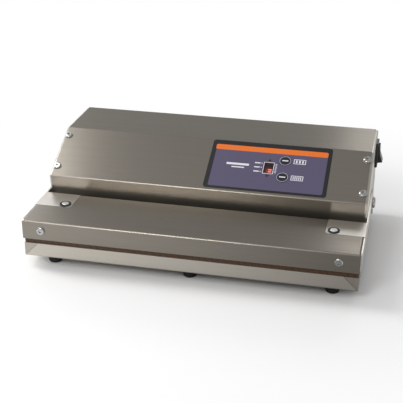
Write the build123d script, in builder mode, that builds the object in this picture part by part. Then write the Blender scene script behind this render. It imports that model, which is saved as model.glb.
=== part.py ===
from build123d import *
import math
import os

# Vacuum packing machine with a sealing bar, in millimetres.
# Origin: on the bench under the middle of the machine. +Z up, -Y towards the user, +X to the user's right.

# Driving dimensions
width = 450.0
half = width / 2
y_front = -140.0
y_base = -136.5
y_rear = 139.0
sheet = 1.5
cover_sheet = 1.2
fold = 2.5

z_base = 15.5
z_deck = 35.5
z_skirt = 43.5
z_lid = 70.0

# Rubber feet and the folded front corners of the base
foot_x = 191.0
foot_front_y = -113.5
foot_rear_y = 112.0
foot_r = 10.0
foot_hole_r = 2.2
gusset = 20.4
gusset_slit = 0.5

# Housing contour in the (Y, Z) plane
slope = 27.0
slant_y = -36.5
slant_z = 93.0
slant_run = 94.2
lip_lean = 6.5
lip_drop = 33.0
slant_top_y = slant_y + slant_run * math.cos(math.radians(slope))
z_top = slant_z + slant_run * math.sin(math.radians(slope))
lip_y = slant_y + lip_drop * math.tan(math.radians(lip_lean))
cover_half = 221.5
side_flange = 16.0
z_side = z_deck + 0.3

# Screws that show: on the slant, on the lid's front and on the rear panel
cover_screw_x = 217.0
cover_screw_s = (18.0, 78.0)
lid_screw_x = 199.0
lid_screw_z = 56.7
rear_screw_x = 216.0
rear_screw_z = (50.0, 118.0)

# Lid, arms and pivot
lid_rear = -44.5
notch_x = 174.5
notch_y = -88.0
pivot_y = 50.0
pivot_z = 58.0
arm_sheet = 2.0
arm_in = half + 0.4
arm_out = arm_in + arm_sheet
arm_end = 18.0
lid_travel = 60.0
shoulder_r = 4.0
bush_r = 5.5
running = 0.05
stop_r = 12.5
stop_slot_width = 4.6
stud_x = 185.5
stud_y = -78.0
stud_r = 5.0
stud_shank_r = 2.4
grommet_r = 8.0

# Vacuum chamber and sealing bar
chamber_x = 185.0
chamber_y0 = -108.0
chamber_y1 = -60.0
chamber_mid = (chamber_y0 + chamber_y1) / 2
chamber_depth = chamber_y1 - chamber_y0
chamber_corner = 10.0
trough_depth = 12.0
trough_sheet = 1.0
gasket_width = 6.0
gasket_size = (2 * chamber_x + 22, chamber_depth + 20)
gasket_corner = 17.0
nipple_place = (-150.0, 28.5)
bar_y0 = -134.0
bar_y1 = -120.0
bar_mid = (bar_y0 + bar_y1) / 2
bar_half = 224.5
band_half = 213.0
band_width = 3.0
tape = 0.3
strip_width = 8.0
strip_half = 220.5
z_bar = 40.6
z_seal = 41.6
z_insert = 50.0
gasket_groove = 3.0
insert_gap = 0.3

# Control panel on the slant: X across, s up the slope from its lower fold
panel_x = 83.5
panel_s = 48.75
panel_size = (170.0, 87.5)
panel_thick = 0.8
key_places = [("vacuum_key", 105.2, 62.7), ("seal_key", 105.2, 32.9)]
key_r = 8.4
window_place = (83.8, 47.6)
window_size = (13.0, 19.0)
board_drop = 16.0
board_thick = 1.6
board_corners = [(x, s) for x in (18, 158) for s in (12, 84)]

# Power switch on the right side panel
switch_y = 102.0
switch_z = 113.0
switch_size = (25.0, 37.0)
bezel = 3.4
rocker_size = (16.2, 24.4)
rocker_travel = 22.0
rocker_pin = 1.6
rocker_pin_r = 1.2
louvre_y = 98.0
louvre_z = 66.0

# Power inlet and fuse on the rear panel, seen from behind
inlet_place = (-150.0, 66.0)
inlet_screw = 20.0
inlet_pins = [(-7, -1.5), (0, 2.5), (7, -1.5)]
fuse_place = (-110.0, 66.0)

# Pump group
shaft_y = 82.0
shaft_z = 64.0
shaft_r = 4.0
motor_x = -70.0
motor_length = 84.0
motor_r = 30.0
bearing_r = 11.0
bearing_width = 7.0
plate_z = 29.0

slant_plane = Plane(
    origin=(0, slant_y, slant_z),
    x_dir=(1, 0, 0),
    z_dir=(0, -math.sin(math.radians(slope)), math.cos(math.radians(slope))),
)
right_side = Plane(origin=(half, 0, 0), x_dir=(0, 1, 0), z_dir=(1, 0, 0))
front_face = Plane(origin=(0, y_front, 0), x_dir=(1, 0, 0), z_dir=(0, -1, 0))
rear_face = Plane(origin=(0, y_rear - 0.2, 0), x_dir=(-1, 0, 0), z_dir=(0, 1, 0))
rear_plane = rear_face.offset(-sheet)

os.makedirs("parts", exist_ok=True)


def save(part, label):
    part.label = label
    export_step(part, "parts/" + label + ".step")


def on_plane(plane, x, y, lift=0.0):
    """A plane parallel to the given one, with its origin at local x, y and height lift."""
    return Plane(origin=plane.from_local_coords((x, y, lift)), x_dir=plane.x_dir, z_dir=plane.z_dir)


def screws(label, places, head_r, head_h, shank_r, length, socket_r):
    """Button-head screws: each place is a plane under the head, facing out along the screw."""
    with BuildPart() as screw:
        Cylinder(head_r, head_h, align=(Align.CENTER, Align.CENTER, Align.MIN))
        fillet(screw.edges().sort_by(Axis.Z)[-1], head_h * 0.7)
        with BuildSketch(Plane.XY.offset(head_h)):
            RegularPolygon(socket_r, 6)
        extrude(amount=-head_h * 0.6, mode=Mode.SUBTRACT)
        with Locations((0, 0, -length / 2)):
            Cylinder(shank_r, length)
    with BuildPart() as group:
        with Locations(*places):
            add(screw.part)
    save(group.part, label)


def block(x0, x1, y0, y1, z0, z1, radius=0.0):
    """A box between two corners, its upright edges rounded."""
    with BuildPart() as solid:
        with BuildSketch(Plane.XY.offset(z0)):
            with Locations(((x0 + x1) / 2, (y0 + y1) / 2)):
                if radius:
                    RectangleRounded(x1 - x0, y1 - y0, radius)
                else:
                    Rectangle(x1 - x0, y1 - y0)
        extrude(amount=z1 - z0)
    return solid.part


def hose(label, points, radii, outer, inner):
    """A hose of straight runs and tangent arcs."""
    with BuildLine() as route:
        FilletPolyline(*points, radius=radii)
    start = Plane(origin=route.line @ 0, z_dir=route.line % 0)
    with BuildPart() as tube:
        with BuildSketch(start):
            Circle(outer)
            Circle(inner, mode=Mode.SUBTRACT)
        sweep(path=route.line)
    save(tube.part, label)


# Base

foot_places = [(x, foot_front_y) for x in (-foot_x, 0, foot_x)] + [(x, foot_rear_y) for x in (-foot_x, foot_x)]


def make_base_pan():
    with BuildPart() as pan:
        with BuildSketch(Plane.XY.offset(z_base)):
            with Locations((0, (y_base + y_rear) / 2)):
                Rectangle(width, y_rear - y_base)
        extrude(amount=z_deck - z_base)
        fillet(pan.edges().filter_by(Axis.X).group_by(Axis.Z)[0], fold)
        with BuildSketch(Plane.XY.offset(z_base + sheet)):
            with Locations((0, (y_base + y_rear) / 2)):
                Rectangle(width - 2 * sheet, y_rear - y_base - 2 * sheet)
        extrude(amount=z_deck - z_base, mode=Mode.SUBTRACT)
        # the two front corners are folded over, so the front wall stops along a mitre there
        with BuildSketch(Plane(origin=(0, y_base, z_base), x_dir=(1, 0, 0), z_dir=(0, -1, 0))):
            for side in (-1, 1):
                with BuildLine():
                    Polyline(
                        (side * half, gusset_slit + 0.1),
                        (side * half, gusset + 0.6),
                        (side * (half - gusset), gusset + 0.6),
                        close=True,
                    )
                make_face()
        extrude(amount=-sheet, mode=Mode.SUBTRACT)
        with Locations(*[(x, y, z_base) for x, y in foot_places]):
            Cylinder(foot_hole_r, 8, mode=Mode.SUBTRACT)
        # ventilation slots under the pump
        with BuildSketch(Plane.XY.offset(z_base)):
            with Locations((-60, shaft_y)):
                with GridLocations(14, 0, 9, 1):
                    SlotOverall(44, 4, rotation=90)
        extrude(amount=sheet, mode=Mode.SUBTRACT)
    save(pan.part, "base_pan")


def make_corner_gussets():
    with BuildPart() as gussets:
        with BuildSketch(Plane(origin=(0, y_base, z_base), x_dir=(1, 0, 0), z_dir=(0, -1, 0))):
            for side in (-1, 1):
                with BuildLine():
                    Polyline(
                        (side * half, 2 * gusset_slit + 0.125),
                        (side * half, z_deck - z_base),
                        (side * (half - gusset + 1 + gusset_slit), z_deck - z_base),
                        close=True,
                    )
                make_face()
        extrude(amount=-sheet)
    save(gussets.part, "corner_gussets")


def make_feet():
    with BuildPart() as foot:
        with BuildSketch(Plane.XZ):
            with BuildLine():
                Polyline((4.4, 0), (6.4, 0))
                TangentArc((6.4, 0), (9.2, 3.2), tangent=(1, 0))
                Polyline((9.2, 3.2), (foot_r, z_base), (2.3, z_base), (2.3, 7), (4.4, 7), (4.4, 0))
            make_face()
        revolve(axis=Axis.Z)
    with BuildPart() as feet:
        with Locations(*[(x, y, 0) for x, y in foot_places]):
            add(foot.part)
    save(feet.part, "rubber_feet")
    with BuildPart() as screw:
        with Locations((0, 0, 4.4)):
            Cylinder(3.8, 2.6, align=(Align.CENTER, Align.CENTER, Align.MIN))
            Cylinder(1.9, 15, align=(Align.CENTER, Align.CENTER, Align.MIN))
        with Locations((0, 0, z_base + sheet)):
            Cylinder(3.6, 2.4, align=(Align.CENTER, Align.CENTER, Align.MIN))
    with BuildPart() as group:
        with Locations(*[(x, y, 0) for x, y in foot_places]):
            add(screw.part)
    save(group.part, "foot_screws")


def make_deck():
    y0 = y_base + sheet + 0.1
    y1 = lip_y + 3.2
    with BuildPart() as deck:
        with BuildSketch(Plane.XY.offset(z_deck - sheet)):
            with Locations((0, (y0 + y1) / 2)):
                Rectangle(width - 2 * sheet - 0.4, y1 - y0)
            with Locations((0, chamber_mid)):
                RectangleRounded(2 * chamber_x, chamber_depth, chamber_corner, mode=Mode.SUBTRACT)
        extrude(amount=sheet)
        # the rear edge is folded up behind the housing lip
        with BuildSketch(Plane.XY.offset(z_deck)):
            with Locations((0, y1 - sheet / 2)):
                Rectangle(2 * (half - side_flange - 1), sheet)
        extrude(amount=42)
        # feet for the deck: two legs folded down to the floor
        with BuildSketch(Plane.XY.offset(z_base + sheet)):
            for y in (y0 + 8, y1 - 3):
                with Locations((0, y)):
                    Rectangle(240, sheet)
        extrude(amount=z_deck - z_base - 2 * sheet)
    save(deck.part, "deck_plate")


def make_trough():
    z_floor = z_deck - sheet - trough_depth + trough_sheet
    with BuildPart() as trough:
        with BuildSketch(Plane.XY.offset(z_floor)):
            with Locations((0, chamber_mid)):
                RectangleRounded(2 * chamber_x - 1, chamber_depth - 1, chamber_corner - 0.5)
        extrude(amount=trough_depth - trough_sheet)
        fillet(trough.edges().group_by(Axis.Z)[0], 4)
        offset(amount=-trough_sheet, openings=trough.faces().sort_by(Axis.Z)[-1])
        # rim under the deck
        with BuildSketch(Plane.XY.offset(z_deck - sheet - trough_sheet)):
            with Locations((0, chamber_mid)):
                RectangleRounded(2 * chamber_x + 12, chamber_depth + 12, chamber_corner + 4)
                RectangleRounded(2 * chamber_x - 3, chamber_depth - 3, chamber_corner - 1.5, mode=Mode.SUBTRACT)
        extrude(amount=trough_sheet)
        # suction nipple out of the rear wall
        nipple_x, nipple_z = nipple_place
        nipple = Plane(origin=(nipple_x, chamber_y1 - 1.4, nipple_z), x_dir=(1, 0, 0), z_dir=(0, 1, 0))
        with BuildSketch(nipple):
            Circle(3)
        extrude(amount=15)
        with BuildSketch(nipple.offset(15.4)):
            Circle(1.8)
        extrude(amount=-20, mode=Mode.SUBTRACT)
    save(trough.part, "vacuum_trough")


def gasket_outline():
    """A racetrack around the chamber, as wide as the gasket."""
    with BuildSketch() as outline:
        with Locations((0, chamber_mid)):
            RectangleRounded(*gasket_size, gasket_corner)
            RectangleRounded(
                gasket_size[0] - 2 * gasket_width,
                gasket_size[1] - 2 * gasket_width,
                gasket_corner - gasket_width,
                mode=Mode.SUBTRACT,
            )
    return outline.sketch


def gasket_ring(z0, z1, label, free_side):
    """A ring of square gasket, its edges rounded on the side that meets the other gasket."""
    outline = gasket_outline()
    with BuildPart() as ring:
        with BuildSketch(Plane.XY.offset(z0)):
            add(outline)
        extrude(amount=z1 - z0)
        fillet(ring.edges().group_by(free_side)[-1], 1.5)
    save(ring.part, label)


def make_sealing_bar():
    save(block(-bar_half, bar_half, bar_y0, bar_y1, z_deck, z_bar), "sealing_bar")
    band_y = band_width / 2
    save(block(-band_half, band_half, bar_mid - band_y, bar_mid + band_y, z_bar, z_bar + 0.2), "heating_band")
    with BuildPart() as cover:
        with BuildSketch(Plane.YZ):
            with Locations((bar_mid, (z_deck + z_bar + 0.5) / 2)):
                Rectangle(bar_y1 - bar_y0 + 2 * tape, z_bar + 0.5 - z_deck)
            with Locations((bar_mid, (z_deck + z_bar) / 2)):
                Rectangle(bar_y1 - bar_y0, z_bar - z_deck, mode=Mode.SUBTRACT)
            with Locations((bar_mid, z_bar + 0.1)):
                Rectangle(band_width + 0.1, 0.25, mode=Mode.SUBTRACT)
        extrude(amount=bar_half, both=True)
    save(cover.part, "bar_tape")


# Housing


def housing_contour(inset):
    """The housing's folded outline from its rear top edge to the end of its lip, moved in by inset."""
    rise = inset * math.tan(math.radians(slope / 2))
    lean = inset * math.tan(math.radians((90 - slope + lip_lean) / 2))
    cos_s, sin_s = math.cos(math.radians(slope)), math.sin(math.radians(slope))
    cos_l, sin_l = math.cos(math.radians(lip_lean)), math.sin(math.radians(lip_lean))
    return [
        (y_rear, z_top - inset),
        (slant_top_y + rise, z_top - inset),
        (slant_y + inset * sin_s + lean * cos_s, slant_z - inset * cos_s + lean * sin_s),
        (lip_y + inset * cos_l, slant_z - lip_drop + inset * sin_l),
    ]


def make_housing_cover():
    with BuildPart() as cover:
        with BuildSketch(Plane.YZ):
            with BuildLine():
                FilletPolyline(*housing_contour(0), radius=fold)
                offset(amount=cover_sheet, side=Side.LEFT, kind=Kind.INTERSECTION)
            make_face()
        extrude(amount=cover_half, both=True)
        with BuildSketch(slant_plane):
            with Locations(*cover_screw_places()):
                Circle(3.2)
            with Locations(window_place):
                Rectangle(window_size[0] + 2, window_size[1] + 2)
            for label, x, s in key_places:
                with Locations((x, s)):
                    Circle(key_r + 0.4)
        extrude(amount=-3, mode=Mode.SUBTRACT)
    save(cover.part, "housing_cover")


def cover_screw_places():
    return [(side * cover_screw_x, s) for side in (-1, 1) for s in cover_screw_s]


def make_side_panel(side, label):
    """A folded side: the flat web, with a flange turned in under the cover and one at the rear."""
    outer = housing_contour(cover_sheet)
    inner = housing_contour(cover_sheet + sheet)
    rear = y_rear - 0.2
    lean = math.tan(math.radians(lip_lean))
    web = Plane(origin=(side * half, 0, 0), x_dir=(0, 1, 0), z_dir=(1, 0, 0))
    with BuildPart() as panel:
        with BuildSketch(web):
            with BuildLine():
                Polyline(
                    (rear, outer[0][1]),
                    *outer[1:3],
                    (outer[3][0] + (outer[3][1] - z_side) * lean, z_side),
                    (rear, z_side),
                    close=True,
                )
            make_face()
        extrude(amount=-side * side_flange)
        folds = [
            e
            for e in panel.edges().filter_by(Axis.X)
            for y, z in outer[1:3]
            if abs(e.center().Y - y) < 0.1 and abs(e.center().Z - z) < 0.1
        ]
        fillet(folds, fold)
        face = panel.faces().sort_by(Axis.X)[-1 if side > 0 else 0]
        fillet([e for e in face.edges() if e.center().Z > z_side + 1], fold)
        with BuildSketch(web.offset(-side * sheet)):
            with BuildLine():
                Polyline(
                    (rear - sheet, inner[0][1]),
                    *inner[1:3],
                    (inner[3][0] + (inner[3][1] - z_side + 2) * lean, z_side - 2),
                    (rear - sheet, z_side - 2),
                    close=True,
                )
            make_face()
        extrude(amount=-side * (side_flange + 2), mode=Mode.SUBTRACT)
        # pivot bolt and stop stud holes
        with BuildSketch(web):
            with Locations((pivot_y, pivot_z)):
                Circle(3.05)
            with Locations(stop_place()):
                Circle(1.55)
            if side > 0:
                with Locations((switch_y, switch_z)):
                    Rectangle(22.4, 30.4)
                # ventilation slots below the switch
                with Locations((louvre_y, louvre_z)):
                    with GridLocations(0, 8, 1, 6):
                        SlotOverall(44, 3.4)
        extrude(amount=-side * 3, mode=Mode.SUBTRACT)
        with BuildSketch(slant_plane):
            with Locations(*cover_screw_places()):
                Circle(2.55)
        extrude(amount=-6, mode=Mode.SUBTRACT)
        with BuildSketch(rear_face):
            with Locations(*rear_screw_places()):
                Circle(1.55)
        extrude(amount=-6, mode=Mode.SUBTRACT)
    save(panel.part, label)


def stop_place():
    angle = math.radians(-90 - lid_travel / 2)
    return (pivot_y + stop_r * math.cos(angle), pivot_z + stop_r * math.sin(angle))


def inlet_screw_places():
    return [(inlet_place[0] + step, inlet_place[1]) for step in (-inlet_screw, inlet_screw)]


def rear_screw_places():
    return [(x, z) for x in (-rear_screw_x, rear_screw_x) for z in rear_screw_z]


def make_rear_panel():
    top = z_top - cover_sheet - sheet
    with BuildPart() as panel:
        with BuildSketch(rear_plane):
            with Locations((0, (z_side + top) / 2)):
                Rectangle(2 * half - 2 * sheet - 0.4, top - z_side)
            with Locations(*rear_screw_places()):
                Circle(1.55, mode=Mode.SUBTRACT)
            with Locations(inlet_place):
                Rectangle(28, 20.6, mode=Mode.SUBTRACT)
            with Locations(*inlet_screw_places()):
                Circle(1.6, mode=Mode.SUBTRACT)
            with Locations(fuse_place):
                Circle(6.3, mode=Mode.SUBTRACT)
            with Locations((60, 88)):
                with GridLocations(12, 34, 12, 2):
                    SlotOverall(26, 4, rotation=90, mode=Mode.SUBTRACT)
        extrude(amount=-sheet)
    save(panel.part, "rear_panel")


# Control panel


def make_panel():
    with BuildPart() as panel:
        with BuildSketch(slant_plane):
            with Locations((panel_x, panel_s)):
                RectangleRounded(*panel_size, 4)
            with Locations(window_place):
                RectangleRounded(*window_size, 1, mode=Mode.SUBTRACT)
            for label, x, s in key_places:
                with Locations((x, s)):
                    Circle(key_r + 0.3, mode=Mode.SUBTRACT)
        extrude(amount=panel_thick)
    save(panel.part, "membrane_panel")
    with BuildPart() as window:
        with BuildSketch(slant_plane):
            with Locations(window_place):
                RectangleRounded(*window_size, 1)
        extrude(amount=panel_thick - 0.1)
    save(window.part, "display_window")
    for label, x, s in key_places:
        with BuildPart() as key:
            with BuildSketch(on_plane(slant_plane, x, s, -0.4)):
                Circle(key_r)
            extrude(amount=panel_thick + 0.9)
            with BuildSketch(on_plane(slant_plane, x, s, -0.4)):
                Circle(2.2)
            extrude(amount=-2.2)
        save(key.part, label)


def make_board():
    board = slant_plane.offset(-board_drop)
    with BuildPart() as pcb:
        with BuildSketch(board):
            with Locations((88, 48)):
                Rectangle(152, 80)
            with Locations(*board_corners):
                Circle(1.6, mode=Mode.SUBTRACT)
        extrude(amount=board_thick)
    save(pcb.part, "control_board")
    with BuildPart() as spacers:
        with BuildSketch(board.offset(board_thick)):
            with Locations(*board_corners):
                RegularPolygon(3.2, 6)
        extrude(amount=board_drop - board_thick - cover_sheet)
    save(spacers.part, "board_spacers")
    with BuildPart() as display:
        with BuildSketch(board.offset(board_thick)):
            with Locations(window_place):
                Rectangle(window_size[0] - 0.6, window_size[1] - 0.6)
        extrude(amount=board_drop - board_thick - 0.1)
    save(display.part, "display_module")
    with BuildPart() as tacts:
        for label, x, s in key_places:
            with BuildSketch(on_plane(board, x, s, board_thick)):
                Rectangle(6, 6)
            extrude(amount=board_drop - board_thick - 5.5)
            with BuildSketch(on_plane(board, x, s, board_drop - 5.5)):
                Circle(1.75)
            extrude(amount=2.2)
        # relays on the underside
        with BuildSketch(board):
            with Locations((40, 60), (40, 30)):
                Rectangle(19, 15.5)
        extrude(amount=-15.5)
    save(tacts.part, "board_parts")


# Power switch and inlet


def make_switch():
    face = on_plane(right_side, switch_y, switch_z)
    pin_x = half + rocker_pin
    with BuildPart() as body:
        with BuildSketch(face):
            RectangleRounded(*switch_size, 2.5)
        extrude(amount=bezel)
        fillet(body.edges().group_by(Axis.X)[-1], 1.2)
        with BuildSketch(face):
            Rectangle(22, 30)
        extrude(amount=-22)
        with BuildSketch(face.offset(bezel)):
            Rectangle(17, 27.5)
        extrude(amount=-16, mode=Mode.SUBTRACT)
        with Locations(Plane(origin=(pin_x, switch_y, switch_z), z_dir=(0, 1, 0))):
            Cylinder(rocker_pin_r, 17.4)
    save(body.part, "switch_body")
    # the rocker: a shallow V about its pin, tilted by half its travel so that its upper half is in
    tilt = math.radians(rocker_travel / 2)
    end_z = rocker_size[1] / 2
    tilted = Plane(
        origin=(pin_x, switch_y, switch_z),
        x_dir=(math.cos(tilt), 0, math.sin(tilt)),
        z_dir=(0, -1, 0),
    )
    with BuildPart() as rocker:
        with BuildSketch(tilted):
            with BuildLine():
                Polyline(
                    (-8, -5),
                    (-1.5, -end_z),
                    (6.5, -end_z),
                    (4.8, 0),
                    (6.5, end_z),
                    (-1.5, end_z),
                    (-8, 5),
                    close=True,
                )
            make_face()
            Circle(rocker_pin_r + running, mode=Mode.SUBTRACT)
        extrude(amount=rocker_size[0] / 2, both=True)
    save(rocker.part, "switch_rocker")


def make_inlet():
    inlet = on_plane(rear_plane, *inlet_place)
    with BuildPart() as socket:
        with BuildSketch(inlet):
            RectangleRounded(50, 23, 4)
        extrude(amount=3)
        fillet(socket.edges().group_by(Axis.Y)[-1], 1)
        with BuildSketch(inlet):
            Rectangle(27.6, 20.2)
        extrude(amount=-22)
        with BuildSketch(inlet.offset(3)):
            with BuildLine():
                Polyline((-12, -8), (12, -8), (12, 3), (7, 8), (-7, 8), (-12, 3), close=True)
            make_face()
        extrude(amount=-20, mode=Mode.SUBTRACT)
        with BuildSketch(inlet.offset(-17)):
            with Locations(*inlet_pins):
                Rectangle(2, 4)
        extrude(amount=-5, mode=Mode.SUBTRACT)
        with BuildSketch(inlet.offset(3)):
            with Locations((-inlet_screw, 0), (inlet_screw, 0)):
                Circle(1.7)
        extrude(amount=-3, mode=Mode.SUBTRACT)
    save(socket.part, "power_inlet")
    with BuildPart() as pins:
        with BuildSketch(inlet.offset(-27)):
            with Locations(*inlet_pins):
                Rectangle(2, 4)
        extrude(amount=24)
    save(pins.part, "inlet_pins")
    fuse = on_plane(rear_plane, *fuse_place)
    with BuildPart() as holder:
        with BuildSketch(fuse):
            Circle(8.5)
        extrude(amount=2)
        with BuildSketch(fuse):
            Circle(6.2)
        extrude(amount=-26)
        with BuildSketch(fuse.offset(2)):
            Circle(5)
        extrude(amount=-22, mode=Mode.SUBTRACT)
    save(holder.part, "fuse_holder")
    with BuildPart() as cap:
        with BuildSketch(fuse.offset(-4)):
            Circle(4.8)
        extrude(amount=7.4)
        with BuildSketch(fuse.offset(2.1)):
            Circle(6.6)
        extrude(amount=1.3)
        with BuildSketch(fuse.offset(3.4)):
            Rectangle(8, 1.2)
        extrude(amount=-0.9, mode=Mode.SUBTRACT)
    save(cap.part, "fuse_cap")


# Lid and hinge


def make_lid_cover():
    mid_y = (y_front + lid_rear) / 2
    with BuildPart() as lid:
        with BuildSketch(Plane.XY.offset(z_skirt)):
            with Locations((0, mid_y)):
                Rectangle(width, lid_rear - y_front)
        extrude(amount=z_lid - z_skirt)
        fillet(lid.edges().group_by(Axis.Z)[-1], fold)
        with BuildSketch(Plane.XY.offset(z_skirt)):
            with Locations((0, mid_y)):
                Rectangle(width - 2 * sheet, lid_rear - y_front - 2 * sheet)
        extrude(amount=z_lid - z_skirt - sheet, mode=Mode.SUBTRACT)
        # corner notches for the hinge arm tabs
        with BuildSketch(Plane.XY.offset(z_skirt - 1)):
            for side in (-1, 1):
                with Locations((side * (notch_x + 40), notch_y + 30)):
                    Rectangle(80, 60)
        extrude(amount=40, mode=Mode.SUBTRACT)
        inner_corner = [
            e
            for e in lid.edges().filter_by(Axis.Z)
            if abs(abs(e.center().X) - notch_x) < 0.1 and abs(e.center().Y - notch_y) < 0.1
        ]
        fillet(inner_corner, 5)
        with BuildSketch(front_face):
            with Locations((-lid_screw_x, lid_screw_z), (lid_screw_x, lid_screw_z)):
                Circle(2.8)
        extrude(amount=-3, mode=Mode.SUBTRACT)
    save(lid.part, "lid_cover")


def make_lid_insert():
    y0 = y_front + sheet + insert_gap
    y1 = lid_rear - sheet - insert_gap
    z1 = z_lid - sheet - 0.2
    strip_groove = 6
    groove_outline = gasket_outline()
    with BuildPart() as insert:
        with BuildSketch(Plane.XY.offset(z_insert)):
            with Locations((0, (y0 + y1) / 2)):
                Rectangle(width - 2 * sheet - 2 * insert_gap, y1 - y0)
        extrude(amount=z1 - z_insert)
        # vacuum chamber
        with BuildSketch(Plane.XY.offset(z_insert)):
            with Locations((0, chamber_mid)):
                RectangleRounded(2 * chamber_x, chamber_depth, chamber_corner)
        extrude(amount=12, mode=Mode.SUBTRACT)
        # gasket groove
        with BuildSketch(Plane.XY.offset(z_insert)):
            add(groove_outline)
        extrude(amount=gasket_groove, mode=Mode.SUBTRACT)
        # pressure strip groove
        with BuildSketch(Plane.XY.offset(z_insert)):
            with Locations((0, bar_mid)):
                Rectangle(2 * strip_half + 1, strip_width)
        extrude(amount=strip_groove, mode=Mode.SUBTRACT)
        with BuildSketch(Plane.XY.offset(z1)):
            with Locations((-stud_x, stud_y), (stud_x, stud_y)):
                Circle(2.5)
        extrude(amount=-14, mode=Mode.SUBTRACT)
        with BuildSketch(Plane(origin=(0, y0, 0), x_dir=(1, 0, 0), z_dir=(0, -1, 0))):
            with Locations((-lid_screw_x, lid_screw_z), (lid_screw_x, lid_screw_z)):
                Circle(2.5)
        extrude(amount=-10, mode=Mode.SUBTRACT)
    save(insert.part, "lid_insert")
    strip_y = strip_width / 2
    z_strip = z_insert + strip_groove
    strip = block(-strip_half, strip_half, bar_mid - strip_y, bar_mid + strip_y, z_seal, z_strip)
    save(strip, "pressure_strip")


def make_arm(side, label):
    """Side plate from the lid's front corner to the pivot, with a tab that fills the lid's corner notch."""
    inner = Plane(origin=(side * arm_in, 0, 0), x_dir=(0, 1, 0), z_dir=(1, 0, 0))
    tab_gap = 0.6
    tab_x = notch_x + tab_gap
    tab_y0 = notch_y + tab_gap
    tab_y1 = lid_rear - 0.2
    stop_path = CenterArc((pivot_y, pivot_z), stop_r, -90 - lid_travel / 2, lid_travel)
    with BuildPart() as arm:
        with BuildSketch(inner):
            with BuildLine():
                Polyline(
                    (y_front + 5, z_skirt + 1),
                    (y_front + 5, z_lid - 3),
                    (y_front + 8, z_lid - 1.2),
                    (notch_y, z_lid - 1.2),
                    (lid_rear, z_lid - 1.2),
                    (pivot_y - 6, pivot_z + arm_end - 0.6),
                    (pivot_y, pivot_z),
                    (pivot_y - 4, pivot_z - arm_end + 2),
                    (lid_rear, z_skirt + 1),
                    close=True,
                )
            make_face()
            with Locations((pivot_y, pivot_z)):
                Circle(arm_end)
            with Locations((pivot_y, pivot_z)):
                Circle(bush_r, mode=Mode.SUBTRACT)
            SlotArc(stop_path, stop_slot_width, mode=Mode.SUBTRACT)
        extrude(amount=side * arm_sheet)
        # the tab, turned in from the plate's top edge
        with BuildSketch(Plane.XY.offset(z_lid - sheet)):
            with BuildLine():
                x0, x1 = side * tab_x, side * arm_out
                Polyline((x0, tab_y0), (x1, tab_y0), (x1, tab_y1), (x0, tab_y1), close=True)
            make_face()
            with Locations((side * stud_x, stud_y)):
                Circle(6.1, mode=Mode.SUBTRACT)
        extrude(amount=sheet)
        corner = [
            e
            for e in arm.edges().filter_by(Axis.Z)
            if abs(abs(e.center().X) - tab_x) < 0.1 and abs(e.center().Y - tab_y0) < 0.1
        ]
        fillet(corner, 4.5)
        bend = [
            e
            for e in arm.edges().filter_by(Axis.Y)
            if abs(e.center().Z - z_lid) < 0.1 and abs(abs(e.center().X) - arm_out) < 0.1
        ]
        fillet(bend, 1.1)
    save(arm.part, label)


def make_pivots():
    with BuildPart() as bush:
        for side in (-1, 1):
            start = (side * (arm_in - 0.15), pivot_y, pivot_z)
            plane = Plane(origin=start, x_dir=(0, 1, 0), z_dir=(side, 0, 0))
            with BuildSketch(plane):
                Circle(bush_r)
                Circle(shoulder_r + running, mode=Mode.SUBTRACT)
            extrude(amount=arm_sheet + 0.5)
    save(bush.part, "pivot_bushes")
    with BuildPart() as bolt:
        for side in (-1, 1):
            plane = Plane(origin=(side * half, pivot_y, pivot_z), x_dir=(0, 1, 0), z_dir=(side, 0, 0))
            with BuildSketch(plane.offset(-8)):
                Circle(3)
            extrude(amount=8)
            with BuildSketch(plane):
                Circle(shoulder_r)
            extrude(amount=3.1)
            with BuildSketch(plane.offset(3.1)):
                Circle(8)
            extrude(amount=3.6)
            crown = bolt.edges().filter_by(GeomType.CIRCLE).group_by(Axis.X)[-1 if side > 0 else 0]
            fillet(crown, 2.4)
            with BuildSketch(plane.offset(6.7)):
                RegularPolygon(2.9, 6)
            extrude(amount=-2.4, mode=Mode.SUBTRACT)
    save(bolt.part, "pivot_bolts")
    with BuildPart() as nuts:
        for side in (-1, 1):
            plane = Plane(origin=(side * (half - sheet), pivot_y, pivot_z), x_dir=(0, 1, 0), z_dir=(side, 0, 0))
            with BuildSketch(plane):
                Circle(10)
                Circle(3.05, mode=Mode.SUBTRACT)
            extrude(amount=-1.5)
            with BuildSketch(plane.offset(-1.5)):
                RegularPolygon(5.8, 6)
                Circle(3.05, mode=Mode.SUBTRACT)
            extrude(amount=-5)
    save(nuts.part, "pivot_nuts")
    with BuildPart() as stops:
        for side in (-1, 1):
            y, z = stop_place()
            plane = Plane(origin=(side * half, y, z), x_dir=(0, 1, 0), z_dir=(side, 0, 0))
            with BuildSketch(plane.offset(-3)):
                Circle(1.5)
            extrude(amount=3)
            with BuildSketch(plane):
                Circle(2)
            extrude(amount=2.9)
            with BuildSketch(plane.offset(2.9)):
                Circle(3.6)
            extrude(amount=1.2)
    save(stops.part, "stop_studs")


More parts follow.
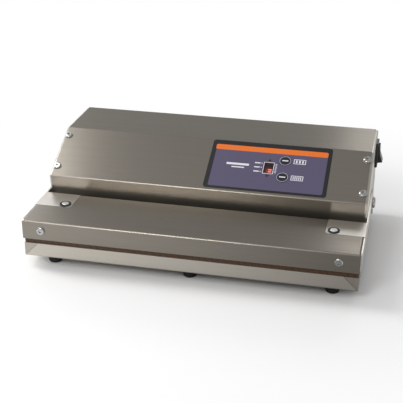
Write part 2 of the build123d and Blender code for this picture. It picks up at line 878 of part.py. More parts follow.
def make_lid_studs():
    with BuildPart() as studs:
        for side in (-1, 1):
            with Locations((side * stud_x, stud_y, z_lid - 12)):
                Cylinder(stud_shank_r, 12.6, align=(Align.CENTER, Align.CENTER, Align.MIN))
            with Locations((side * stud_x, stud_y, z_lid + 0.5)):
                Cylinder(stud_r, 1.4, align=(Align.CENTER, Align.CENTER, Align.MIN))
        crowns = studs.edges().filter_by(GeomType.CIRCLE).group_by(Axis.Z)[-1]
        fillet(crowns, 1.1)
    save(studs.part, "lid_studs")
    with BuildPart() as washers:
        for side in (-1, 1):
            with BuildSketch(Plane.XY.offset(z_lid)):
                with Locations((side * stud_x, stud_y)):
                    Circle(grommet_r)
                    Circle(stud_r + running, mode=Mode.SUBTRACT)
            extrude(amount=1.0)
            with BuildSketch(Plane.XY.offset(z_lid - sheet - 0.2)):
                with Locations((side * stud_x, stud_y)):
                    Circle(6.1)
                    Circle(2.5, mode=Mode.SUBTRACT)
            extrude(amount=sheet + 0.6)
    save(washers.part, "stud_grommets")


# Pump group


def make_pump():
    z_plate = plate_z - 2
    save(block(-168, 44, 44, 120, z_plate, plate_z, 4), "pump_plate")
    with BuildPart() as mounts:
        with Locations(*[(x, y, z_base + sheet) for x in (-158, 34) for y in (54, 110)]):
            Cylinder(6, z_plate - z_base - sheet, align=(Align.CENTER, Align.CENTER, Align.MIN))
    save(mounts.part, "pump_mounts")
    axis = Plane(origin=(motor_x, shaft_y, shaft_z), x_dir=(0, 1, 0), z_dir=(1, 0, 0))
    with BuildPart() as motor:
        with BuildSketch(axis):
            Circle(motor_r)
        extrude(amount=motor_length)
        fillet(motor.edges().filter_by(GeomType.CIRCLE), 3)
        with BuildSketch(axis):
            Circle(bearing_r)
        extrude(amount=motor_length, mode=Mode.SUBTRACT)
        # cooling fins along the body
        with BuildSketch(axis.offset(14)):
            with PolarLocations(motor_r + 1, 18):
                Rectangle(4, 3.6)
        extrude(amount=56, mode=Mode.SUBTRACT)
    save(motor.part, "motor_body")
    with BuildPart() as cradle:
        add(block(-50, -6, shaft_y - 26, shaft_y + 26, plate_z, shaft_z - 20, 3))
        with BuildSketch(axis):
            Circle(motor_r + running)
        extrude(amount=motor_length, mode=Mode.SUBTRACT)
    save(cradle.part, "motor_cradle")
    with BuildPart() as bearings:
        for along in (0, motor_length - bearing_width):
            with BuildSketch(axis.offset(along)):
                Circle(bearing_r)
                Circle(shaft_r + running, mode=Mode.SUBTRACT)
            extrude(amount=bearing_width)
    save(bearings.part, "motor_bearings")
    with BuildPart() as shaft:
        with BuildSketch(axis.offset(-34)):
            Circle(shaft_r)
        extrude(amount=34 + motor_length + 26)
        # eccentric that drives the pump
        with BuildSketch(axis.offset(-30)):
            with Locations((0, 3)):
                Circle(9)
        extrude(amount=12)
    save(shaft.part, "motor_shaft")
    with BuildPart() as rotor:
        with BuildSketch(axis.offset(10)):
            Circle(10.3)
            Circle(shaft_r, mode=Mode.SUBTRACT)
        extrude(amount=64)
    save(rotor.part, "motor_rotor")
    with BuildPart() as fan:
        with BuildSketch(axis.offset(90)):
            Circle(9)
            Circle(shaft_r, mode=Mode.SUBTRACT)
        extrude(amount=12)
        for turn in range(7):
            blade = axis.offset(96).rotated((turn * 360 / 7, 0, 0))
            root = blade.from_local_coords((8, 0, 0))
            with BuildSketch(Plane(origin=root, x_dir=blade.z_dir, z_dir=blade.x_dir)):
                Rectangle(9, 1.6, rotation=35)
            extrude(amount=19)
    save(fan.part, "cooling_fan")
    with BuildPart() as crankcase:
        add(block(-134, -72, 50, 114, plate_z, 92, 5))
        with BuildSketch(axis.offset(-36)):
            Circle(17)
        extrude(amount=22, mode=Mode.SUBTRACT)
        with BuildSketch(axis.offset(-14)):
            Circle(shaft_r + 0.5)
        extrude(amount=14, mode=Mode.SUBTRACT)
    save(crankcase.part, "pump_crankcase")
    with BuildPart() as head:
        add(block(-132, -74, 54, 110, 92, 104, 4))
        with BuildSketch(Plane.XY.offset(104)):
            # cooling fins
            with Locations((-103, shaft_y)):
                with GridLocations(0, 7, 1, 7):
                    Rectangle(50, 2.4)
        extrude(amount=9)
    save(head.part, "pump_head")
    valve = block(-196, -170, 34, 66, z_base + sheet, 60, 2)
    save(valve, "solenoid_valve")
    with BuildPart() as coil:
        with Locations((-183, 50, 60)):
            Cylinder(11, 24, align=(Align.CENTER, Align.CENTER, Align.MIN))
    save(coil.part, "valve_coil")
    nipple_x, nipple_z = nipple_place
    hose(
        "chamber_hose",
        [
            (nipple_x, chamber_y1 + 2, nipple_z),
            (nipple_x, -26, nipple_z),
            (-183, -2, nipple_z),
            (-183, 33.9, nipple_z),
        ],
        [18, 18],
        4.5,
        3.05,
    )
    hose(
        "pump_hose",
        [(-183, 66.1, 44), (-183, 84, 44), (-164, 84, 62), (-134.2, 84, 62)],
        [10, 12],
        4.5,
        2.5,
    )


def make_transformer():
    with BuildPart() as core:
        add(block(74, 150, 40, 74, z_base + sheet, 84))
        with BuildSketch(Plane(origin=(0, 75, 0), x_dir=(1, 0, 0), z_dir=(0, -1, 0))):
            with Locations((93.5, 51), (130.5, 51)):
                Rectangle(13, 40)
        extrude(amount=36, both=True, mode=Mode.SUBTRACT)
    save(core.part, "transformer_core")
    with BuildPart() as coil:
        with BuildSketch(Plane.XY.offset(31.5)):
            with Locations((112, 57)):
                RectangleRounded(49, 58, 6)
                Rectangle(24.4, 34.4, mode=Mode.SUBTRACT)
        extrude(amount=39)
    save(coil.part, "transformer_coil")


def make_wiring():
    hose(
        "wiring_loom",
        [(110, 111, 66), (110, 97, 66), (88, 84, 90), (60, 62, 92), (60, 34, 92), (60, 22, 100)],
        [7, 10, 12, 7],
        2.5,
        0.6,
    )


make_base_pan()
make_corner_gussets()
make_feet()
make_deck()
make_trough()
gasket_ring(z_deck, z_seal - 0.4, "lower_gasket", Axis.Z)
make_sealing_bar()
make_housing_cover()
make_side_panel(-1, "side_panel_left")
make_side_panel(1, "side_panel_right")
make_rear_panel()
make_panel()
make_board()
make_switch()
make_inlet()
make_lid_cover()
make_lid_insert()
gasket_ring(z_seal, z_insert + gasket_groove, "upper_gasket", -Axis.Z)
make_arm(-1, "hinge_arm_left")
make_arm(1, "hinge_arm_right")
make_pivots()
make_lid_studs()
make_pump()
make_transformer()
make_wiring()

screws("cover_screws", [on_plane(slant_plane, x, s) for x, s in cover_screw_places()], 5.6, 2.6, 2.5, 8, 2.2)
lid_screw_places = [on_plane(front_face, x, lid_screw_z) for x in (-lid_screw_x, lid_screw_x)]
screws("lid_front_screws", lid_screw_places, 5.8, 2.5, 2.45, 9, 2.3)
rear_places = [on_plane(rear_face, x, z) for x, z in rear_screw_places()]
rear_places += [on_plane(rear_plane, x, z, 3) for x, z in inlet_screw_places()]
screws("rear_screws", rear_places, 3.3, 1.9, 1.5, 6, 1.4)
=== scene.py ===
import math

import bmesh
import bpy
from mathutils import Matrix, Vector


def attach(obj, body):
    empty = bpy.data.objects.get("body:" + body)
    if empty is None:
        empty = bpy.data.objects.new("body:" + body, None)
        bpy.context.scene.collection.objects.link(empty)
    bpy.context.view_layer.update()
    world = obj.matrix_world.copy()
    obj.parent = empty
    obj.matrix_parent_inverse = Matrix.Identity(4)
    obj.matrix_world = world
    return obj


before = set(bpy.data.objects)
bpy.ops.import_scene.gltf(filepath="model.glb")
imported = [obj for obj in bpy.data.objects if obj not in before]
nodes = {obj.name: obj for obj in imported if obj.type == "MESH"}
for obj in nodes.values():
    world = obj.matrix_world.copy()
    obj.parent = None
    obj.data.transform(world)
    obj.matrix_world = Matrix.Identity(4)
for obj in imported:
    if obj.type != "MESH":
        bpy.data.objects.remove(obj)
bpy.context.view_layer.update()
mm = 0.001

# the slant carries the control panel: x runs across it, s runs up it from its lower fold
slant = {"angle": 27.0, "foldY": -36.5 * mm, "foldZ": 93.0 * mm}
slantFrame = Matrix.Translation((0, slant["foldY"], slant["foldZ"])) @ Matrix.Rotation(
    math.radians(slant["angle"]), 4, "X"
)


def hexColour(text):
    # sRGB hex to the linear values that Blender's sockets take
    parts = [int(text[i : i + 2], 16) / 255 for i in (0, 2, 4)]
    linear = [p / 12.92 if p <= 0.04045 else ((p + 0.055) / 1.055) ** 2.4 for p in parts]
    return (*linear, 1.0)


def addNode(material, kind, settings=None, links=None):
    # links: input name or number -> (node, output name)
    tree = material.node_tree
    node = tree.nodes.new(kind)
    for key, value in (settings or {}).items():
        if isinstance(key, str) and hasattr(node, key):
            setattr(node, key, value)
        else:
            node.inputs[key].default_value = value
    for key, (source, output) in (links or {}).items():
        tree.links.new(source.outputs[output], node.inputs[key])
    return node


def newMaterial(name, colour, roughness, metallic=0.0):
    material = bpy.data.materials.new(name)
    material.use_nodes = True
    shader = material.node_tree.nodes["Principled BSDF"]
    shader.inputs["Base Color"].default_value = hexColour(colour)
    shader.inputs["Roughness"].default_value = roughness
    shader.inputs["Metallic"].default_value = metallic
    return material, shader


def grainScale(axis, lengthMm, widthMm):
    # a noise cell this long along the grain and this wide across it
    scale = [1000 / widthMm] * 3
    scale["XYZ".index(axis)] = 1000 / lengthMm
    return scale


def setRamp(node, stops):
    ramp = node.color_ramp
    while len(ramp.elements) > len(stops):
        ramp.elements.remove(ramp.elements[-1])
    while len(ramp.elements) < len(stops):
        ramp.elements.new(1.0)
    for element, (place, value) in zip(ramp.elements, stops):
        element.position = place
        element.color = value if isinstance(value, tuple) else (value, value, value, 1)


def brushedStainless(name, axis, light="958f86", dark="8c867d", rough=(0.27, 0.33), spread=0.8):
    # 304 sheet with a number 4 brushed finish: fine parallel scratches that stretch every
    # highlight across the grain. Real scratches are about 0.1 mm wide, drawn 0.6 mm wide here
    # because finer ones don't show.
    material, shader = newMaterial(name, light, sum(rough) / 2, 1.0)
    place = addNode(material, "ShaderNodeTexCoord")
    scratch = addNode(
        material,
        "ShaderNodeMapping",
        {"Scale": grainScale(axis, 90, 0.6)},
        {"Vector": (place, "Object")},
    )
    fine = addNode(
        material,
        "ShaderNodeTexNoise",
        {"Scale": 1.0, "Detail": 3.0, "Roughness": 0.6},
        {"Vector": (scratch, "Vector")},
    )
    band = addNode(
        material,
        "ShaderNodeMapping",
        {"Scale": grainScale(axis, 260, 9)},
        {"Vector": (place, "Object")},
    )
    wide = addNode(
        material,
        "ShaderNodeTexNoise",
        {"Scale": 1.0, "Detail": 2.0},
        {"Vector": (band, "Vector")},
    )
    both = addNode(
        material,
        "ShaderNodeMix",
        {"data_type": "FLOAT", 0: 0.25},
        {2: (fine, 0), 3: (wide, 0)},
    )
    tone = addNode(material, "ShaderNodeValToRGB", None, {0: (both, 0)})
    setRamp(tone, [(0.3, hexColour(dark)), (0.7, hexColour(light))])
    gloss = addNode(
        material,
        "ShaderNodeMapRange",
        {"From Min": 0.3, "From Max": 0.7, "To Min": rough[1], "To Max": rough[0]},
        {"Value": (both, 0)},
    )
    bump = addNode(
        material,
        "ShaderNodeBump",
        {"Strength": 0.025, "Distance": 0.0001},
        {"Height": (fine, 0)},
    )
    across = addNode(material, "ShaderNodeCombineXYZ", {axis: 1.0})
    links = material.node_tree.links
    links.new(tone.outputs["Color"], shader.inputs["Base Color"])
    links.new(gloss.outputs["Result"], shader.inputs["Roughness"])
    links.new(bump.outputs["Normal"], shader.inputs["Normal"])
    links.new(across.outputs["Vector"], shader.inputs["Tangent"])
    shader.inputs["Anisotropic"].default_value = spread
    shader.inputs["Anisotropic Rotation"].default_value = 0.25
    return material


def grainySurface(name, light, dark, grainMm, rough, metallic=0.0, bumpDepth=0.0001, bumpStrength=0.15):
    # a surface with an even fine grain, such as cast metal, moulded plastic or rubber
    material, shader = newMaterial(name, light, sum(rough) / 2, metallic)
    place = addNode(material, "ShaderNodeTexCoord")
    noise = addNode(
        material,
        "ShaderNodeTexNoise",
        {"Scale": 1000 / grainMm, "Detail": 4.0, "Roughness": 0.55},
        {"Vector": (place, "Object")},
    )
    tone = addNode(material, "ShaderNodeValToRGB", None, {0: (noise, 0)})
    setRamp(tone, [(0.3, hexColour(dark)), (0.7, hexColour(light))])
    gloss = addNode(
        material,
        "ShaderNodeMapRange",
        {"From Min": 0.3, "From Max": 0.7, "To Min": rough[0], "To Max": rough[1]},
        {"Value": (noise, 0)},
    )
    bump = addNode(
        material,
        "ShaderNodeBump",
        {"Strength": bumpStrength, "Distance": bumpDepth},
        {"Height": (noise, 0)},
    )
    links = material.node_tree.links
    links.new(tone.outputs["Color"], shader.inputs["Base Color"])
    links.new(gloss.outputs["Result"], shader.inputs["Roughness"])
    links.new(bump.outputs["Normal"], shader.inputs["Normal"])
    return material


def wovenTape(name):
    # PTFE-coated glass cloth: crossing threads under a smooth brown coat. The real thread pitch
    # is about 0.5 mm, drawn many times coarser so that it shows.
    material, shader = newMaterial(name, "54381f", 0.45)
    place = addNode(material, "ShaderNodeTexCoord")
    threadPitch = 4.398 * mm
    waveScale = 2 * math.pi / threadPitch / 20  # the wave texture multiplies its place by 20
    waves = [
        addNode(
            material,
            "ShaderNodeTexWave",
            {"bands_direction": direction, "Scale": waveScale, "Distortion": 0.4},
            {"Vector": (place, "Object")},
        )
        for direction in ("X", "DIAGONAL")
    ]
    weave = addNode(
        material,
        "ShaderNodeMix",
        {"data_type": "FLOAT", 0: 0.5},
        {2: (waves[0], "Fac"), 3: (waves[1], "Fac")},
    )
    tone = addNode(material, "ShaderNodeValToRGB", None, {0: (weave, 0)})
    setRamp(tone, [(0.2, hexColour("482f1c")), (0.8, hexColour("5a3d26"))])
    bump = addNode(
        material, "ShaderNodeBump", {"Strength": 0.25, "Distance": 0.0002}, {"Height": (weave, 0)}
    )
    links = material.node_tree.links
    links.new(tone.outputs["Color"], shader.inputs["Base Color"])
    links.new(bump.outputs["Normal"], shader.inputs["Normal"])
    return material


def printedFilm(name, light, dark):
    # polyester film printed on its back and lightly textured, so its gloss is broken up
    return grainySurface(name, light, dark, 0.5, (0.34, 0.44), 0, 0.00004, 0.3)


def glowingRed(name, colour, strength):
    # light-emitting bars behind a red filter
    material, shader = newMaterial(name, "300806", 0.3)
    shader.inputs["Emission Color"].default_value = hexColour(colour)
    shader.inputs["Emission Strength"].default_value = strength
    return material


steelAlongX = brushedStainless("stainless brushed along the length", "X")
# the side panels are the same stainless as the housing, given a lighter colour: painted light for how the
# light falls on them
steelSidesPaintedLighter = brushedStainless("stainless brushed front to back, painted lighter", "Y", "c8c3bb", "beb9b1")
# the base is the same stainless as the housing, given a lighter colour: painted light for the light falling
# on its front
steelBasePaintedLighter = brushedStainless("stainless brushed along the base, painted lighter", "X", "ccc6bc", "c4beb4")
# the corner tabs are the same stainless as the rest, given a lighter colour: painted highlight for the
# light their cross grain catches
steelTabPaintedHighlight = brushedStainless(
    "stainless brushed across the corner tabs", "Y", "dcd8d2", "d4d0ca", (0.36, 0.44), 0.6
)
# the upright gussets are the same stainless, given a lighter colour: painted light for how the light falls
# on them
steelUprightPaintedLighter = brushedStainless("stainless brushed upright, painted lighter", "Z", "b6b0a6", "aea89e")
polishedSteel = grainySurface(
    "polished stainless fasteners", "c2c2c0", "acacaa", 0.6, (0.12, 0.22), 1.0, 0.00002
)
# the domes are the same stainless, given a near-white colour: painted reflection standing in for the white
# they mirror
satinDomePaintedSheen = grainySurface(
    "satin stainless domes, painted white sheen", "e4e4e2", "d8d8d6", 0.6, (0.42, 0.5), 1.0, 0.00002
)
zincSteel = grainySurface("zinc plated steel", "b9bcc0", "9fa3a6", 2.5, (0.3, 0.45), 1.0)
castAlloy = grainySurface("cast aluminium", "a7a9ab", "8f9193", 0.8, (0.45, 0.6), 1.0, 0.0003, 0.4)
blackRubber = grainySurface("moulded black rubber", "1b1b1c", "121213", 0.9, (0.6, 0.75))
gasketFoam = grainySurface(
    "closed cell silicone foam", "2e2e30", "222224", 0.7, (0.7, 0.85), 0, 0.0003, 0.5
)
silicone = grainySurface("translucent white silicone", "d8d3c8", "c8c3b8", 3.0, (0.35, 0.5))
siliconeRed = grainySurface("red oxide silicone strip", "8c3a2b", "7a3024", 2.0, (0.45, 0.6))
phenolic = grainySurface("fabric phenolic laminate", "5a3b22", "452c19", 1.2, (0.45, 0.6))
whitePlastic = grainySurface("machined polyethylene", "d9d9d5", "cacac6", 1.5, (0.45, 0.6))
glossBlack = grainySurface("moulded black nylon", "141415", "0d0d0e", 0.7, (0.28, 0.4))
filmBorder = grainySurface("dark polyester film", "16151a", "121116", 0.5, (0.32, 0.42), 0, 0.00004, 0.3)
filmField = printedFilm("violet grey print on polyester film", "544e68", "4f4963")
filmOrange = printedFilm("orange print on polyester film", "e2701f", "dc6a1a")
filmPale = printedFilm("pale print on polyester film", "e2e0e6", "d6d4dc")
filmKeyRing = printedFilm("lilac print on key film", "a9a4bd", "9d98b1")
filmDarkRed = printedFilm("dark red print on polyester film", "3c1622", "34121d")
keyFilm = grainySurface("embossed black key film", "1e1e22", "18181c", 0.5, (0.25, 0.35), 0, 0.00004, 0.3)
windowTint = grainySurface("dark red tinted window", "1d1012", "160b0d", 1.0, (0.08, 0.14), 0, 0.00001, 0.1)
boardGreen = grainySurface("glass epoxy board", "1f5a35", "184a2b", 0.8, (0.35, 0.5))
motorPaint = grainySurface("stove enamelled motor housing", "3b4046", "33383d", 1.0, (0.35, 0.5))
copperWinding = grainySurface(
    "enamelled copper winding", "b0672c", "8f4f1f", 1.0, (0.25, 0.4), 1.0, 0.0003, 0.5
)
laminations = grainySurface(
    "silicon steel laminations", "6d7073", "55585b", 0.6, (0.4, 0.55), 1.0, 0.0002, 0.4
)
brassPlain = grainySurface("turned brass", "c9a35a", "b48f4b", 0.8, (0.22, 0.35), 1.0, 0.00003)
wireJacket = grainySurface("blue cable jacket", "27375f", "1f2d50", 1.0, (0.4, 0.55))
ledRed = glowingRed("lit display bars", "ffb4a8", 1.0)
ledDim = glowingRed("glow around the lit bars", "c8281a", 0.5)
ledFaint = glowingRed("faint glow behind the window", "7a1810", 0.3)

cadFinish = {
    "base_pan": steelBasePaintedLighter,
    "corner_gussets": steelUprightPaintedLighter,
    "deck_plate": steelAlongX,
    "vacuum_trough": steelAlongX,
    "housing_cover": steelAlongX,
    "side_panel_left": steelSidesPaintedLighter,
    "side_panel_right": steelSidesPaintedLighter,
    "rear_panel": steelAlongX,
    "lid_cover": steelAlongX,
    "hinge_arm_left": steelTabPaintedHighlight,
    "hinge_arm_right": steelTabPaintedHighlight,
    "cover_screws": polishedSteel,
    "lid_front_screws": polishedSteel,
    "rear_screws": polishedSteel,
    "lid_studs": satinDomePaintedSheen,
    "pivot_bolts": polishedSteel,
    "pivot_nuts": zincSteel,
    "stop_studs": polishedSteel,
    "foot_screws": zincSteel,
    "motor_shaft": polishedSteel,
    "inlet_pins": polishedSteel,
    "rubber_feet": blackRubber,
    "stud_grommets": blackRubber,
    "pump_mounts": blackRubber,
    "lower_gasket": gasketFoam,
    "upper_gasket": gasketFoam,
    "sealing_bar": phenolic,
    "bar_tape": wovenTape("brown PTFE glass cloth tape"),
    "heating_band": zincSteel,
    "pressure_strip": siliconeRed,
    "chamber_hose": silicone,
    "pump_hose": silicone,
    "lid_insert": whitePlastic,
    "membrane_panel": filmBorder,
    "display_window": windowTint,
    "display_module": glossBlack,
    "vacuum_key": keyFilm,
    "seal_key": keyFilm,
    "switch_body": glossBlack,
    "switch_rocker": glossBlack,
    "power_inlet": glossBlack,
    "fuse_holder": glossBlack,
    "fuse_cap": glossBlack,
    "cooling_fan": glossBlack,
    "control_board": boardGreen,
    "board_parts": glossBlack,
    "board_spacers": brassPlain,
    "pivot_bushes": brassPlain,
    "solenoid_valve": brassPlain,
    "pump_plate": zincSteel,
    "motor_cradle": zincSteel,
    "motor_bearings": zincSteel,
    "motor_body": motorPaint,
    "pump_crankcase": castAlloy,
    "pump_head": castAlloy,
    "transformer_core": laminations,
    "motor_rotor": laminations,
    "transformer_coil": copperWinding,
    "valve_coil": motorPaint,
    "wiring_loom": wireJacket,
}
for name, material in cadFinish.items():
    for slotHolder in nodes[name].material_slots:
        slotHolder.material = material
print("materials on", len(cadFinish), "carried-over parts")


def finishPiece(bm, name, material, body):
    bmesh.ops.recalc_face_normals(bm, faces=bm.faces)
    mesh = bpy.data.meshes.new(name)
    bm.to_mesh(mesh)
    bm.free()
    mesh.materials.append(material)
    piece = bpy.data.objects.new(name, mesh)
    bpy.context.scene.collection.objects.link(piece)
    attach(piece, body)
    return piece


def raiseFaces(bm, faces, height):
    # lifts flat faces into a closed plate, keeping the lower ones as its underside
    top = bmesh.ops.extrude_face_region(bm, geom=faces, use_keep_orig=True)
    verts = [v for v in top["geom"] if isinstance(v, bmesh.types.BMVert)]
    bmesh.ops.translate(bm, verts=verts, vec=(0, 0, height))


def roundedPlate(bm, centre, size, radius, lift, height):
    # a flat plate with rounded corners, in panel coordinates (mm)
    quad = bmesh.ops.create_grid(bm, x_segments=1, y_segments=1, size=0.5)
    verts = quad["verts"]
    bmesh.ops.scale(bm, verts=verts, vec=(size[0] * mm, size[1] * mm, 1))
    bmesh.ops.translate(bm, verts=verts, vec=(centre[0] * mm, centre[1] * mm, lift * mm))
    faces = list({f for v in verts for f in v.link_faces})
    if radius:
        cut = bmesh.ops.bevel(
            bm,
            geom=verts,
            offset=radius * mm,
            segments=5,
            profile=0.5,
            affect="VERTICES",
            material=-1,
        )
        faces = list({f for v in cut["verts"] for f in v.link_faces})
    raiseFaces(bm, faces, height * mm)


def flatRing(bm, centre, outer, inner, lift, height):
    # a flat ring: a disc rim extruded inwards, then raised
    disc = bmesh.ops.create_circle(bm, cap_ends=True, segments=48, radius=outer * mm)
    verts = disc["verts"]
    bmesh.ops.translate(bm, verts=verts, vec=(centre[0] * mm, centre[1] * mm, lift * mm))
    face = list({f for v in verts for f in v.link_faces})
    rim = bmesh.ops.inset_region(bm, faces=face, thickness=(outer - inner) * mm, use_boundary=True)
    bmesh.ops.delete(bm, geom=face, context="FACES")
    raiseFaces(bm, rim["faces"], height * mm)


def panelPiece(name, build, material, body="base"):
    bm = bmesh.new()
    build(bm)
    bmesh.ops.transform(bm, matrix=slantFrame, verts=bm.verts)
    return finishPiece(bm, name, material, body)


panel = {  # mm; places are x and s on the slant
    "top": 0.8,  # film surface above the slant
    "print": 0.06,  # height of one printed layer
    "field": {"centre": (84.0, 46.2), "size": (158.0, 76.6), "radius": 3.0},
    "stripe": {"centre": (83.6, 79.8), "size": (159.0, 9.4), "radius": 2.2},
    "window": {"centre": (83.8, 47.6), "size": (13.0, 19.0), "rim": 0.8, "rimGap": 0.6},
    "keys": {"vacuum_key": (105.2, 62.7), "seal_key": (105.2, 32.9)},
    "keyHole": 8.9,
}
windowX, windowS = panel["window"]["centre"]
windowWide, windowHigh = panel["window"]["size"]
onField = panel["top"] + panel["print"]


def cutHoles(piece, holes):
    # opens the printed field over the window and the keys; a hole is a size or a radius
    for centre, size in holes:
        bm = bmesh.new()
        if isinstance(size, tuple):
            bmesh.ops.create_cube(bm, size=1.0)
            bmesh.ops.scale(bm, verts=bm.verts, vec=(size[0] * mm, size[1] * mm, 0.004))
        else:
            bmesh.ops.create_cone(
                bm, cap_ends=True, segments=48, radius1=size * mm, radius2=size * mm, depth=0.004
            )
        bmesh.ops.translate(bm, verts=bm.verts, vec=(centre[0] * mm, centre[1] * mm, panel["top"] * mm))
        bmesh.ops.transform(bm, matrix=slantFrame, verts=bm.verts)
        mesh = bpy.data.meshes.new("cutter")
        bm.to_mesh(mesh)
        bm.free()
        cutter = bpy.data.objects.new("cutter", mesh)
        bpy.context.scene.collection.objects.link(cutter)
        cut = piece.modifiers.new("hole", "BOOLEAN")
        cut.object = cutter
        cut.solver = "EXACT"
        bpy.context.view_layer.objects.active = piece
        bpy.ops.object.modifier_apply(modifier="hole")
        bpy.data.objects.remove(cutter)


def buildField(bm):
    field = panel["field"]
    roundedPlate(bm, field["centre"], field["size"], field["radius"], panel["top"], panel["print"])


def buildStripe(bm):
    stripe = panel["stripe"]
    roundedPlate(bm, stripe["centre"], stripe["size"], stripe["radius"], onField, panel["print"])


def buildWindowRim(bm):
    # four strips round the display window
    rim = panel["window"]["rim"]
    gap = panel["window"]["rimGap"]
    for side in (-1, 1):
        upright = (windowX + side * (windowWide / 2 + gap), windowS)
        level = (windowX, windowS + side * (windowHigh / 2 + gap))
        roundedPlate(bm, upright, (rim, windowHigh + 2.0), 0, onField, panel["print"])
        roundedPlate(bm, level, (windowWide + 0.4, rim), 0, onField, panel["print"])


field = panelPiece("panel_print_field", buildField, filmField)
holes = [(panel["window"]["centre"], (windowWide + 0.2, windowHigh + 0.2))]
holes += [(place, panel["keyHole"]) for place in panel["keys"].values()]
cutHoles(field, holes)
panelPiece("panel_print_stripe", buildStripe, filmOrange)
panelPiece("panel_print_window_rim", buildWindowRim, filmPale)

marks = {
    "ink": 0.05,
    "labelX": 67.5,
    "labelS": (55.5, 47.9, 40.3),
    "labelSize": (8.0, 1.9),
    "dotStep": 6.0,
    "dotSize": (1.5, 1.5),
    "scaleX": 94.0,
    "scaleCount": 7,
    "scaleStep": 2.5,
    "scaleSize": (2.4, 1.0),
    "titleBars": (((40.0, 50.4), (32.0, 3.6)), ((41.0, 44.8), (18.0, 2.0))),
}


def buildMarks(bm):
    ink = marks["ink"]
    for s in marks["labelS"]:
        # each label is a short bar and a dot
        roundedPlate(bm, (marks["labelX"], s), marks["labelSize"], 0.6, onField, ink)
        roundedPlate(bm, (marks["labelX"] + marks["dotStep"], s), marks["dotSize"], 0.4, onField, ink)
    lowest = windowS - marks["scaleStep"] * (marks["scaleCount"] - 1) / 2
    for step in range(marks["scaleCount"]):
        # graduations beside the window
        s = lowest + marks["scaleStep"] * step
        roundedPlate(bm, (marks["scaleX"], s), marks["scaleSize"], 0, onField, ink)
    for centre, size in marks["titleBars"]:
        roundedPlate(bm, centre, size, 0.5, onField, ink)


panelPiece("panel_print_marks", buildMarks, filmPale)

icons = {
    "places": {(125.5, 63.2): 3, (125.5, 33.4): 5},  # centre: number of bars inside the frame
    "size": (17.0, 8.6),
    "frame": 1.0,
}


def buildIcons(bm):
    ink = marks["ink"]
    wide, high = icons["size"]
    frameWide = icons["frame"]
    for (x, s), bars in icons["places"].items():
        for side in (-1, 1):
            across = side * (wide - frameWide) / 2
            up = side * (high - frameWide) / 2
            roundedPlate(bm, (x + across, s), (frameWide, high), 0, onField, ink)
            roundedPlate(bm, (x, s + up), (wide - 2 * frameWide, frameWide), 0, onField, ink)
        step = (wide - 4) / bars
        for bar in range(bars):
            centre = (x - wide / 2 + 2 + step * (bar + 0.5), s)
            roundedPlate(bm, centre, (step * 0.5, high - 3.6), 0.3, onField, ink)


panelPiece("panel_print_icons", buildIcons, filmPale)

arrows = {"radius": 3.2, "gap": 4.4}


def buildArrows(bm):
    # one triangle above the window and one below it
    for side in (-1, 1):
        tri = bmesh.ops.create_circle(bm, cap_ends=True, segments=3, radius=arrows["radius"] * mm)
        verts = tri["verts"]
        turn = math.pi if side < 0 else 0
        bmesh.ops.rotate(bm, verts=verts, matrix=Matrix.Rotation(turn, 3, "Z"))
        s = windowS + side * (windowHigh / 2 + arrows["gap"])
        bmesh.ops.translate(bm, verts=verts, vec=(windowX * mm, s * mm, onField * mm))
        raiseFaces(bm, list({f for v in verts for f in v.link_faces}), marks["ink"] * mm)


panelPiece("panel_print_arrows", buildArrows, filmDarkRed)

display = {  # steps from the window's centre, sizes and corner radii
    "behind": 0.1,
    "barStep": (2.6, -6.6),
    "barRise": 3.6,
    "barCount": 2,
    "barSize": (4.8, 1.5),
    "glow": {"step": (1.9, -4.8), "size": (8.2, 7.6), "radius": 2.4, "height": 0.02},
    "halo": {"step": (1.0, -3.9), "size": (10.4, 10.2), "radius": 3.2, "height": 0.01},
}


def buildBars(bm):
    stepX, stepS = display["barStep"]
    for bar in range(display["barCount"]):
        centre = (windowX + stepX, windowS + stepS + display["barRise"] * bar)
        roundedPlate(bm, centre, display["barSize"], 0.4, panel["top"] - display["behind"], panel["print"])


def glowBuilder(part):
    def build(bm):
        centre = (windowX + part["step"][0], windowS + part["step"][1])
        lift = panel["top"] - display["behind"]
        roundedPlate(bm, centre, part["size"], part["radius"], lift, part["height"])

    return build


panelPiece("display_bars_lit", buildBars, ledRed, "base")
panelPiece("display_glow", glowBuilder(display["glow"]), ledDim, "base")
panelPiece("display_halo", glowBuilder(display["halo"]), ledFaint, "base")

keyPrint = {"lift": 1.3, "ring": (8.2, 7.3), "barSize": (8.6, 1.9), "barRise": 0.3}


def ringBuilder(place):
    def build(bm):
        outer, inner = keyPrint["ring"]
        flatRing(bm, place, outer, inner, keyPrint["lift"], marks["ink"])

    return build


def keyMarkBuilder(place):
    def build(bm):
        centre = (place[0], place[1] + keyPrint["barRise"])
        roundedPlate(bm, centre, keyPrint["barSize"], 0.5, keyPrint["lift"], marks["ink"])

    return build


for keyNode, place in panel["keys"].items():
    # these ride on the keys, so they move when a key is pressed
    panelPiece(keyNode + "_ring", ringBuilder(place), filmKeyRing, keyNode + "_body")
    panelPiece(keyNode + "_mark", keyMarkBuilder(place), filmPale, keyNode + "_body")
print("control panel prints done")


table = {
    "halfSide": 4.0,
    "fadeFrom": 0.26,  # distance from the machine at which the plain white begins
    "fadeTo": 0.6,
    # where the table is painted darker for reflections only: painted shade for the lid's front to mirror
    "mirrorLeft": -0.25,
    "mirrorRight": 0.35,
    "paintedShadeGreys": [(0.0, 0.85), (0.78, 0.3), (0.9, 0.9)],
    "cameraGrey": 0.9,
}


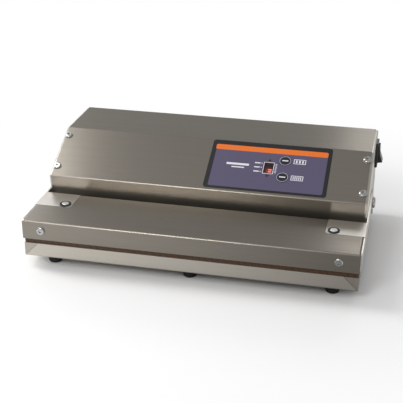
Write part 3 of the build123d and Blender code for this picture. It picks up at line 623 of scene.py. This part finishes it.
def buildFloor():
    bm = bmesh.new()
    bmesh.ops.create_grid(bm, x_segments=1, y_segments=1, size=table["halfSide"])
    mesh = bpy.data.meshes.new("floor")
    bm.to_mesh(mesh)
    bm.free()
    floor = bpy.data.objects.new("floor", mesh)
    bpy.context.scene.collection.objects.link(floor)
    material, shader = newMaterial("matt white table", "f4f3f1", 0.9)
    # the table fades to plain white away from the machine, for the camera only
    place = addNode(material, "ShaderNodeTexCoord")
    reach = addNode(
        material, "ShaderNodeVectorMath", {"operation": "LENGTH"}, {0: (place, "Object")}
    )
    fade = addNode(
        material,
        "ShaderNodeMapRange",
        {
            "interpolation_type": "SMOOTHSTEP",
            "From Min": table["fadeFrom"],
            "From Max": table["fadeTo"],
        },
        {"Value": (reach, "Value")},
    )
    path = addNode(material, "ShaderNodeLightPath")
    faded = addNode(
        material,
        "ShaderNodeMath",
        {"operation": "MULTIPLY"},
        {0: (fade, "Result"), 1: (path, "Is Camera Ray")},
    )
    # every ray but the camera's meets a table painted darker to the right and pale again past
    # the machine: painted shade that the lid's front mirrors, so it shows less light at its right end
    across = addNode(material, "ShaderNodeSeparateXYZ", None, {0: (place, "Object")})
    along = addNode(
        material,
        "ShaderNodeMapRange",
        {"From Min": table["mirrorLeft"], "From Max": table["mirrorRight"]},
        {"Value": (across, "X")},
    )
    mirroredPaintedShade = addNode(material, "ShaderNodeValToRGB", None, {0: (along, 0)})
    setRamp(mirroredPaintedShade, table["paintedShadeGreys"])
    seen = addNode(
        material,
        "ShaderNodeMix",
        {"data_type": "FLOAT", 3: table["cameraGrey"]},
        {0: (path, "Is Camera Ray"), 2: (mirroredPaintedShade, 0)},
    )
    material.node_tree.links.new(seen.outputs[0], shader.inputs["Base Color"])
    white = addNode(material, "ShaderNodeEmission", {"Strength": 1.0})
    blend = addNode(material, "ShaderNodeMixShader", None, {0: (faded, 0), 1: (shader, 0), 2: (white, 0)})
    output = material.node_tree.nodes["Material Output"]
    material.node_tree.links.new(blend.outputs[0], output.inputs["Surface"])
    mesh.materials.append(material)


def softbox(name, place, aim, size, power):
    lamp = bpy.data.lights.new(name, "AREA")
    lamp.shape = "RECTANGLE"
    lamp.size, lamp.size_y = size
    lamp.energy = power
    holder = bpy.data.objects.new(name, lamp)
    holder.location = place
    holder.rotation_euler = (Vector(aim) - Vector(place)).to_track_quat("-Z", "Y").to_euler()
    bpy.context.scene.collection.objects.link(holder)


lamps = {  # place and size in metres, power in watts
    "upper left": {"place": (-1.5, 0.2, 1.45), "aim": (-0.1, 0, 0.05), "size": (0.6, 1.6), "power": 24},
    "back left": {"place": (-2.15, 2.3, 1.15), "aim": (-0.2, 0, 0.05), "size": (1.8, 0.9), "power": 12},
    "back right": {"place": (0.5, 2.3, 1.45), "aim": (0.15, 0, 0.05), "size": (1.0, 0.8), "power": 6},
    "front left": {"place": (-0.75, -2.1, 1.7), "aim": (-0.15, 0, 0.05), "size": (0.8, 0.6), "power": 19},
    "front strip": {"place": (0.0, -1.15, 1.6), "aim": (0, 0, 0.05), "size": (2.4, 0.3), "power": 4},
}
room = {"lightLevel": 0.47, "seenLevel": 1.0}

buildFloor()
for name, lamp in lamps.items():
    softbox(name, lamp["place"], lamp["aim"], lamp["size"], lamp["power"])

world = bpy.data.worlds.new("studio")
world.use_nodes = True
# only the camera sees the plain white; the machine is lit by, and mirrors, a dimmer room
path = addNode(world, "ShaderNodeLightPath")
level = addNode(
    world,
    "ShaderNodeMapRange",
    {"To Min": room["lightLevel"], "To Max": room["seenLevel"]},
    {"Value": (path, "Is Camera Ray")},
)
background = world.node_tree.nodes["Background"]
background.inputs["Color"].default_value = (1, 1, 1, 1)
world.node_tree.links.new(level.outputs["Result"], background.inputs["Strength"])
bpy.context.scene.world = world

# the view is from the front right, a little above, with a long lens
view = {"place": (0.2736, -1.2320, 0.6357), "azimuth": 12.97, "elevation": 24.59, "lens": 87.09}
cameraData = bpy.data.cameras.new("camera")
cameraData.lens = view["lens"]
cameraData.sensor_width = 36
camera = bpy.data.objects.new("camera", cameraData)
camera.location = view["place"]
camera.rotation_euler = (math.radians(90 - view["elevation"]), 0, math.radians(view["azimuth"]))
bpy.context.scene.collection.objects.link(camera)
bpy.context.scene.camera = camera
bpy.context.scene.view_settings.view_transform = "Standard"
print("light and camera done")
